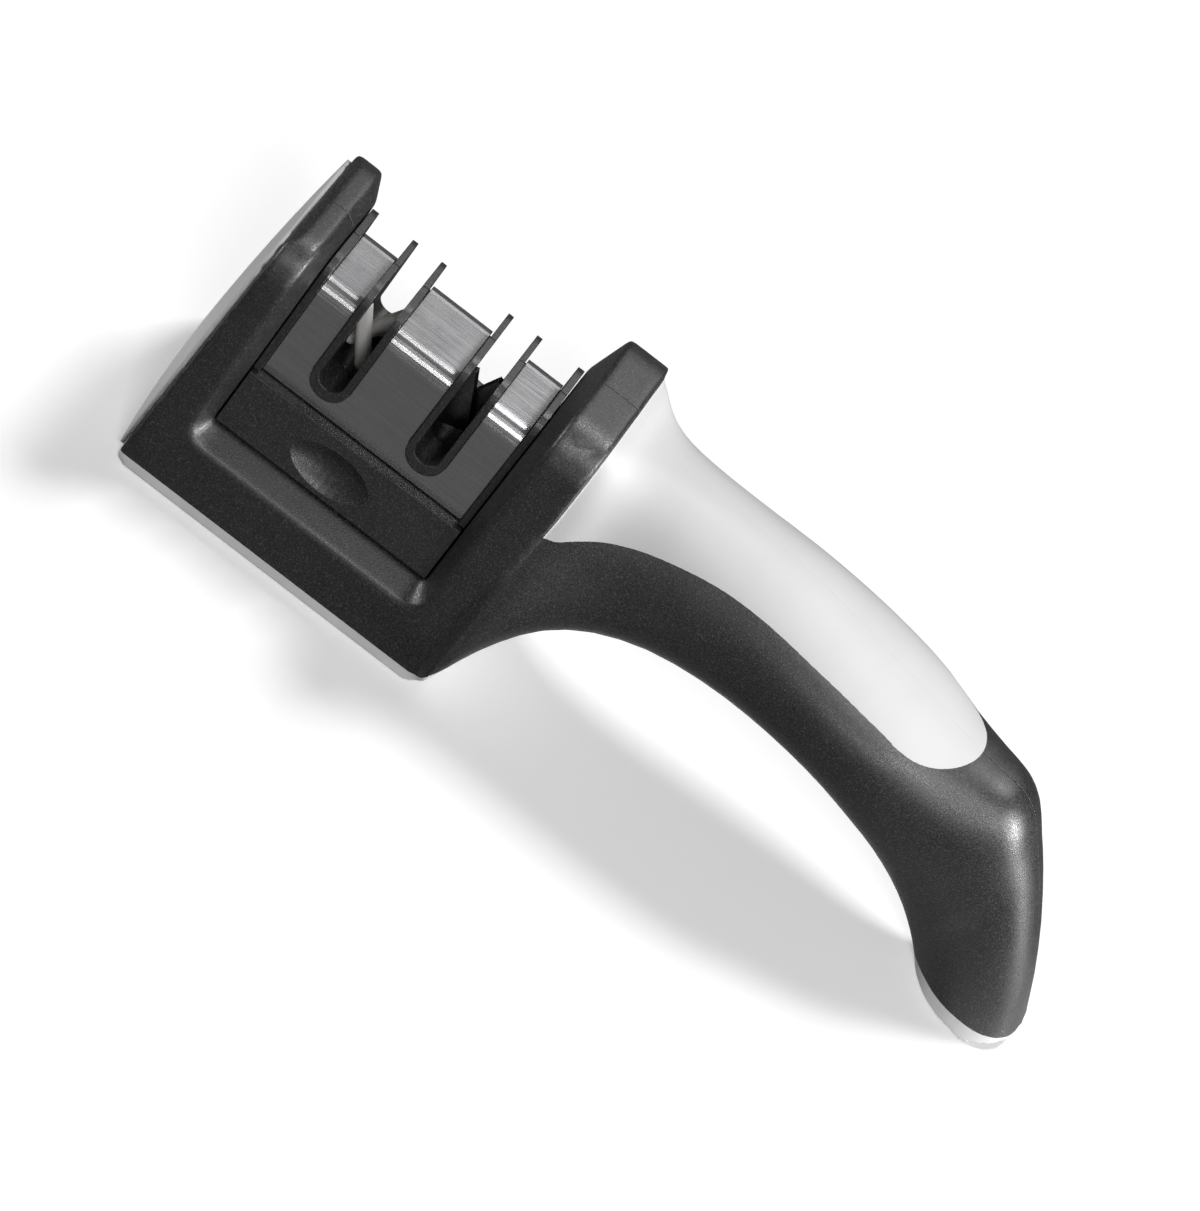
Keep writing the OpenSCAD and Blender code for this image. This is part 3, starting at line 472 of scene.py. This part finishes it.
def kept_side(points, faces, normals, field):
    """The part of a skin where the field is above zero, cut along its zero line"""
    side = field > 0
    whole = faces[side[faces].all(1)]
    mixed = faces[side[faces].any(1) & ~side[faces].all(1)]
    cuts, new_points, new_normals, extra = {}, [], [], []

    def cut(i, j):
        key = (min(i, j), max(i, j))
        if key not in cuts:
            share = field[i] / (field[i] - field[j])
            cuts[key] = len(points) + len(new_points)
            new_points.append(points[i] + share * (points[j] - points[i]))
            new_normals.append(normals[i] + share * (normals[j] - normals[i]))
        return cuts[key]

    for face in mixed:
        while not side[face[0]] or side[face[2]] and not side[face[1]]:
            face = np.roll(face, 1)
        i, j, k = face
        if side[j]:
            extra += [(i, j, cut(j, k)), (i, cut(j, k), cut(k, i))]
        else:
            extra.append((i, cut(i, j), cut(k, i)))
    if new_points:
        points = np.concatenate([points, new_points])
        normals = np.concatenate([normals, new_normals])
        whole = np.concatenate([whole, np.array(extra)]) if len(whole) else np.array(extra)
    used, faces = np.unique(whole, return_inverse=True)
    return points[used], faces.reshape(-1, 3), normals[used]


def distances(points, node):
    """Distance of each point from a CAD node's surface"""
    tree = BVHTree.FromPolygons(*[a.tolist() for a in triangles(frame["nodes"][node].data)])
    return np.array([tree.find_nearest(p)[3] for p in points])


def case_skins():
    """Softly rounded skins of the case's moulded pieces, cut where one piece meets the next"""
    nodes = ("front_shell", "rear_shell", "grip_inlay", "base_sole", "tail_sole")
    points, faces = voxel_skin(nodes, VOXEL)
    points = worn_smooth(points, faces, ROUNDS)
    normals = with_handle_normals(points, vertex_normals(points, faces))
    far = {"shell": np.minimum(distances(points, "front_shell"), distances(points, "rear_shell"))}
    for node in nodes[2:]:
        far[node] = distances(points, node)
    others = np.min([far[n] for n in nodes[2:]], axis=0)
    for node in nodes[2:]:
        rest = np.min([far[n] for n in far if n != node], axis=0)
        skin = kept_side(points, faces, normals, rest - far[node])
        skin_piece(node + "_skin", node, skin)
    shell = kept_side(points, faces, normals, others - far["shell"])
    for node, way in (("front_shell", -1), ("rear_shell", 1)):
        skin = kept_side(*shell, way * shell[0][:, 1] + TIE)
        skin_piece(node + "_skin", node, skin)


def skin_piece(name, node, skin):
    points, faces, normals = skin
    mesh = made_mesh(name, points, faces)
    mesh.materials.append(LOOKS[SLOTS[node]])
    mesh.polygons.foreach_set("use_smooth", np.ones(len(mesh.polygons), dtype=bool))
    mesh.normals_split_custom_set_from_vertices(normals.tolist())
    piece = bpy.data.objects.new(name, mesh)
    bpy.context.scene.collection.objects.link(piece)
    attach(piece, "case")
    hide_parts(node)


case_skins()


def smooth_panel():
    """The bulging end panel with smooth shading in place of its flat facets"""
    points, faces = triangles(frame["nodes"]["end_panel"].data)
    points, index = np.unique(points.round(WELD_DIGITS), axis=0, return_inverse=True)
    faces = index[faces].reshape(-1, 3)
    faces = faces[(faces != np.roll(faces, 1, axis=1)).all(1)]
    skin_piece("end_panel_skin", "end_panel", (points, faces, vertex_normals(points, faces)))


smooth_panel()


# Camera: its place and axes come from a fit to the photograph's edges
CAMERA_FORM = dict(
    place=(-0.053310, -0.765950, 0.817760),
    right=(0.792789, 0.416852, 0.444658),
    up=(-0.608261, 0.587527, 0.533695),
    back=(-0.038777, -0.693575, 0.719340),
    lens=175.364)


SENSOR_W = 36
CLIP = (0.05, 20)


def add_camera(place, right, up, back, lens):
    """The camera at a place, with its axes and its lens and sensor in millimetres"""
    data = bpy.data.cameras.new("view")
    data.sensor_width = SENSOR_W
    data.sensor_fit = "AUTO"
    data.lens = lens
    data.clip_start, data.clip_end = CLIP
    camera = bpy.data.objects.new("view", data)
    bpy.context.scene.collection.objects.link(camera)
    rows = [(right[k], up[k], back[k], place[k]) for k in range(3)]
    camera.matrix_world = Matrix((*rows, (0, 0, 0, 1)))
    bpy.context.scene.camera = camera


add_camera(**CAMERA_FORM)


def add_lamp(name, place, aim, size, power):
    """A rectangular soft lamp that looks at its aim"""
    data = bpy.data.lights.new(name, "AREA")
    data.shape = "RECTANGLE"
    data.size, data.size_y = size
    data.energy = power
    lamp = bpy.data.objects.new(name, data)
    lamp.location = place
    lamp.rotation_euler = (Vector(aim) - Vector(place)).to_track_quat("-Z", "Y").to_euler()
    bpy.context.scene.collection.objects.link(lamp)
    return lamp


# Two lamps light the part and the floor. The fills light the part alone, so that the floor
# keeps one clear shadow.
LAMPS = {
    "key": dict(place=(0.1, -0.68, 0.8), aim=(0, 0, 0.03), size=(0.2, 0.2), power=2.6),
    "top_back": dict(place=(0.16, 0.36, 0.98), aim=(0.02, 0, 0.03), size=(0.2, 0.2), power=6.5),
}
FILLS = {
    "shoulder": dict(place=(0.42, -0.5, 0.72), aim=(0.06, 0, 0.03), size=(0.16, 0.16), power=1.4),
    "front_right": dict(
        place=(0.62, -0.62, 0.34), aim=(0.06, 0, 0.03), size=(0.14, 0.24), power=1.7),
    "low_front": dict(place=(0.3, -0.75, 0.1), aim=(0.04, 0, 0.03), size=(0.4, 0.06), power=1.0),
    "right": dict(place=(0.85, -0.1, 0.24), aim=(0.08, 0, 0.03), size=(0.25, 0.42), power=10),
    "back": dict(place=(0.05, 0.75, 0.62), aim=(0.03, 0, 0.03), size=(0.5, 0.14), power=0.4),
    "side": dict(place=(-0.9, -0.1, 0.35), aim=(-0.1, 0, 0.03), size=(0.4, 0.3), power=4.5),
}
for name, values in LAMPS.items():
    add_lamp(name, **values)
fill_lamps = [add_lamp(name, **values) for name, values in FILLS.items()]

WHITE = (1, 1, 1, 1)
WORLD_STRENGTH = 0.12
FLOOR_EDGE = 3.0
FLOOR_ROUGHNESS = 0.9
# The floor as other rays meet it: a painted strip of light right under the part and painted shade
# beyond, which paint reflections and bounce light onto the part
PAINTED_LIGHT_STRIP_HALF_W = (0.016, 0.032)
PAINTED_LIGHT_STRIP_COLOR, PAINTED_SHADE_BEYOND_COLOR = (0.85, 0.85, 0.85), (0.18, 0.18, 0.18)
# The floor as the camera sees it: the share of plain white grows with the distance
SEEN_COLOR = (0.95, 0.95, 0.95, 1)
SEEN_GLOW = 2.6
GLOW_REACH, GLOW_SHARES = (0.2, 0.5), (0.15, 1.0)


def seen_by_camera(tree, plain, seen, output):
    """Shows one shader to the camera and another one to all other rays"""
    path = tree.nodes.new("ShaderNodeLightPath")
    mix = tree.nodes.new("ShaderNodeMixShader")
    tree.links.new(path.outputs["Is Camera Ray"], mix.inputs[0])
    tree.links.new(plain.outputs[0], mix.inputs[1])
    tree.links.new(seen.outputs[0], mix.inputs[2])
    tree.links.new(mix.outputs[0], tree.nodes[output].inputs["Surface"])


def add_world():
    """A dim even light, white to the camera"""
    world = bpy.data.worlds.new("studio")
    bpy.context.scene.world = world
    world.use_nodes = True
    tree = world.node_tree
    light = tree.nodes["Background"]
    light.inputs["Color"].default_value = WHITE
    light.inputs["Strength"].default_value = WORLD_STRENGTH
    seen = tree.nodes.new("ShaderNodeBackground")
    seen.inputs["Color"].default_value = WHITE
    seen_by_camera(tree, light, seen, "World Output")


def floor_look():
    """Pale floor that shows soft shadows and turns plain white away from the part; to other rays it
    carries a painted strip of light under the part and painted shade beyond
    """
    material, tree, bsdf = new_material("floor_look")
    point = object_point(tree)
    # Painted light: to all rays but the camera's, the floor is a pale strip under the part and dark
    # beyond, which paints reflections onto the part
    painted_light_strip = remap(tree, off_middle(tree, point), PAINTED_LIGHT_STRIP_HALF_W, FALL)
    tint(tree, painted_light_strip, PAINTED_SHADE_BEYOND_COLOR, PAINTED_LIGHT_STRIP_COLOR, bsdf)
    bsdf.inputs["Roughness"].default_value = FLOOR_ROUGHNESS
    shaded = tree.nodes.new("ShaderNodeBsdfDiffuse")
    shaded.inputs["Color"].default_value = SEEN_COLOR
    glow = tree.nodes.new("ShaderNodeEmission")
    glow.inputs["Strength"].default_value = SEEN_GLOW
    reach = tree.nodes.new("ShaderNodeVectorMath")
    reach.operation = "LENGTH"
    tree.links.new(point, reach.inputs[0])
    bright = tree.nodes.new("ShaderNodeMixShader")
    tree.links.new(remap(tree, reach.outputs["Value"], GLOW_REACH, GLOW_SHARES), bright.inputs[0])
    tree.links.new(shaded.outputs[0], bright.inputs[1])
    tree.links.new(glow.outputs[0], bright.inputs[2])
    seen_by_camera(tree, bsdf, bright, "Material Output")
    return material


def add_floor():
    """The floor, left out of the light of the fill lamps"""
    mesh = bpy.data.meshes.new("floor")
    corners = [(x * FLOOR_EDGE, y * FLOOR_EDGE, 0) for x, y in ((-1, -1), (1, -1), (1, 1), (-1, 1))]
    mesh.from_pydata(corners, [], [(0, 1, 2, 3)])
    mesh.materials.append(floor_look())
    floor = bpy.data.objects.new("floor", mesh)
    bpy.context.scene.collection.objects.link(floor)
    left_out = bpy.data.collections.new("left_out_of_fills")
    left_out.objects.link(floor)
    left_out.collection_objects[0].light_linking.link_state = "EXCLUDE"
    for lamp in fill_lamps:
        lamp.light_linking.receiver_collection = left_out


add_world()
add_floor()
bpy.context.scene.view_settings.view_transform = "Standard"
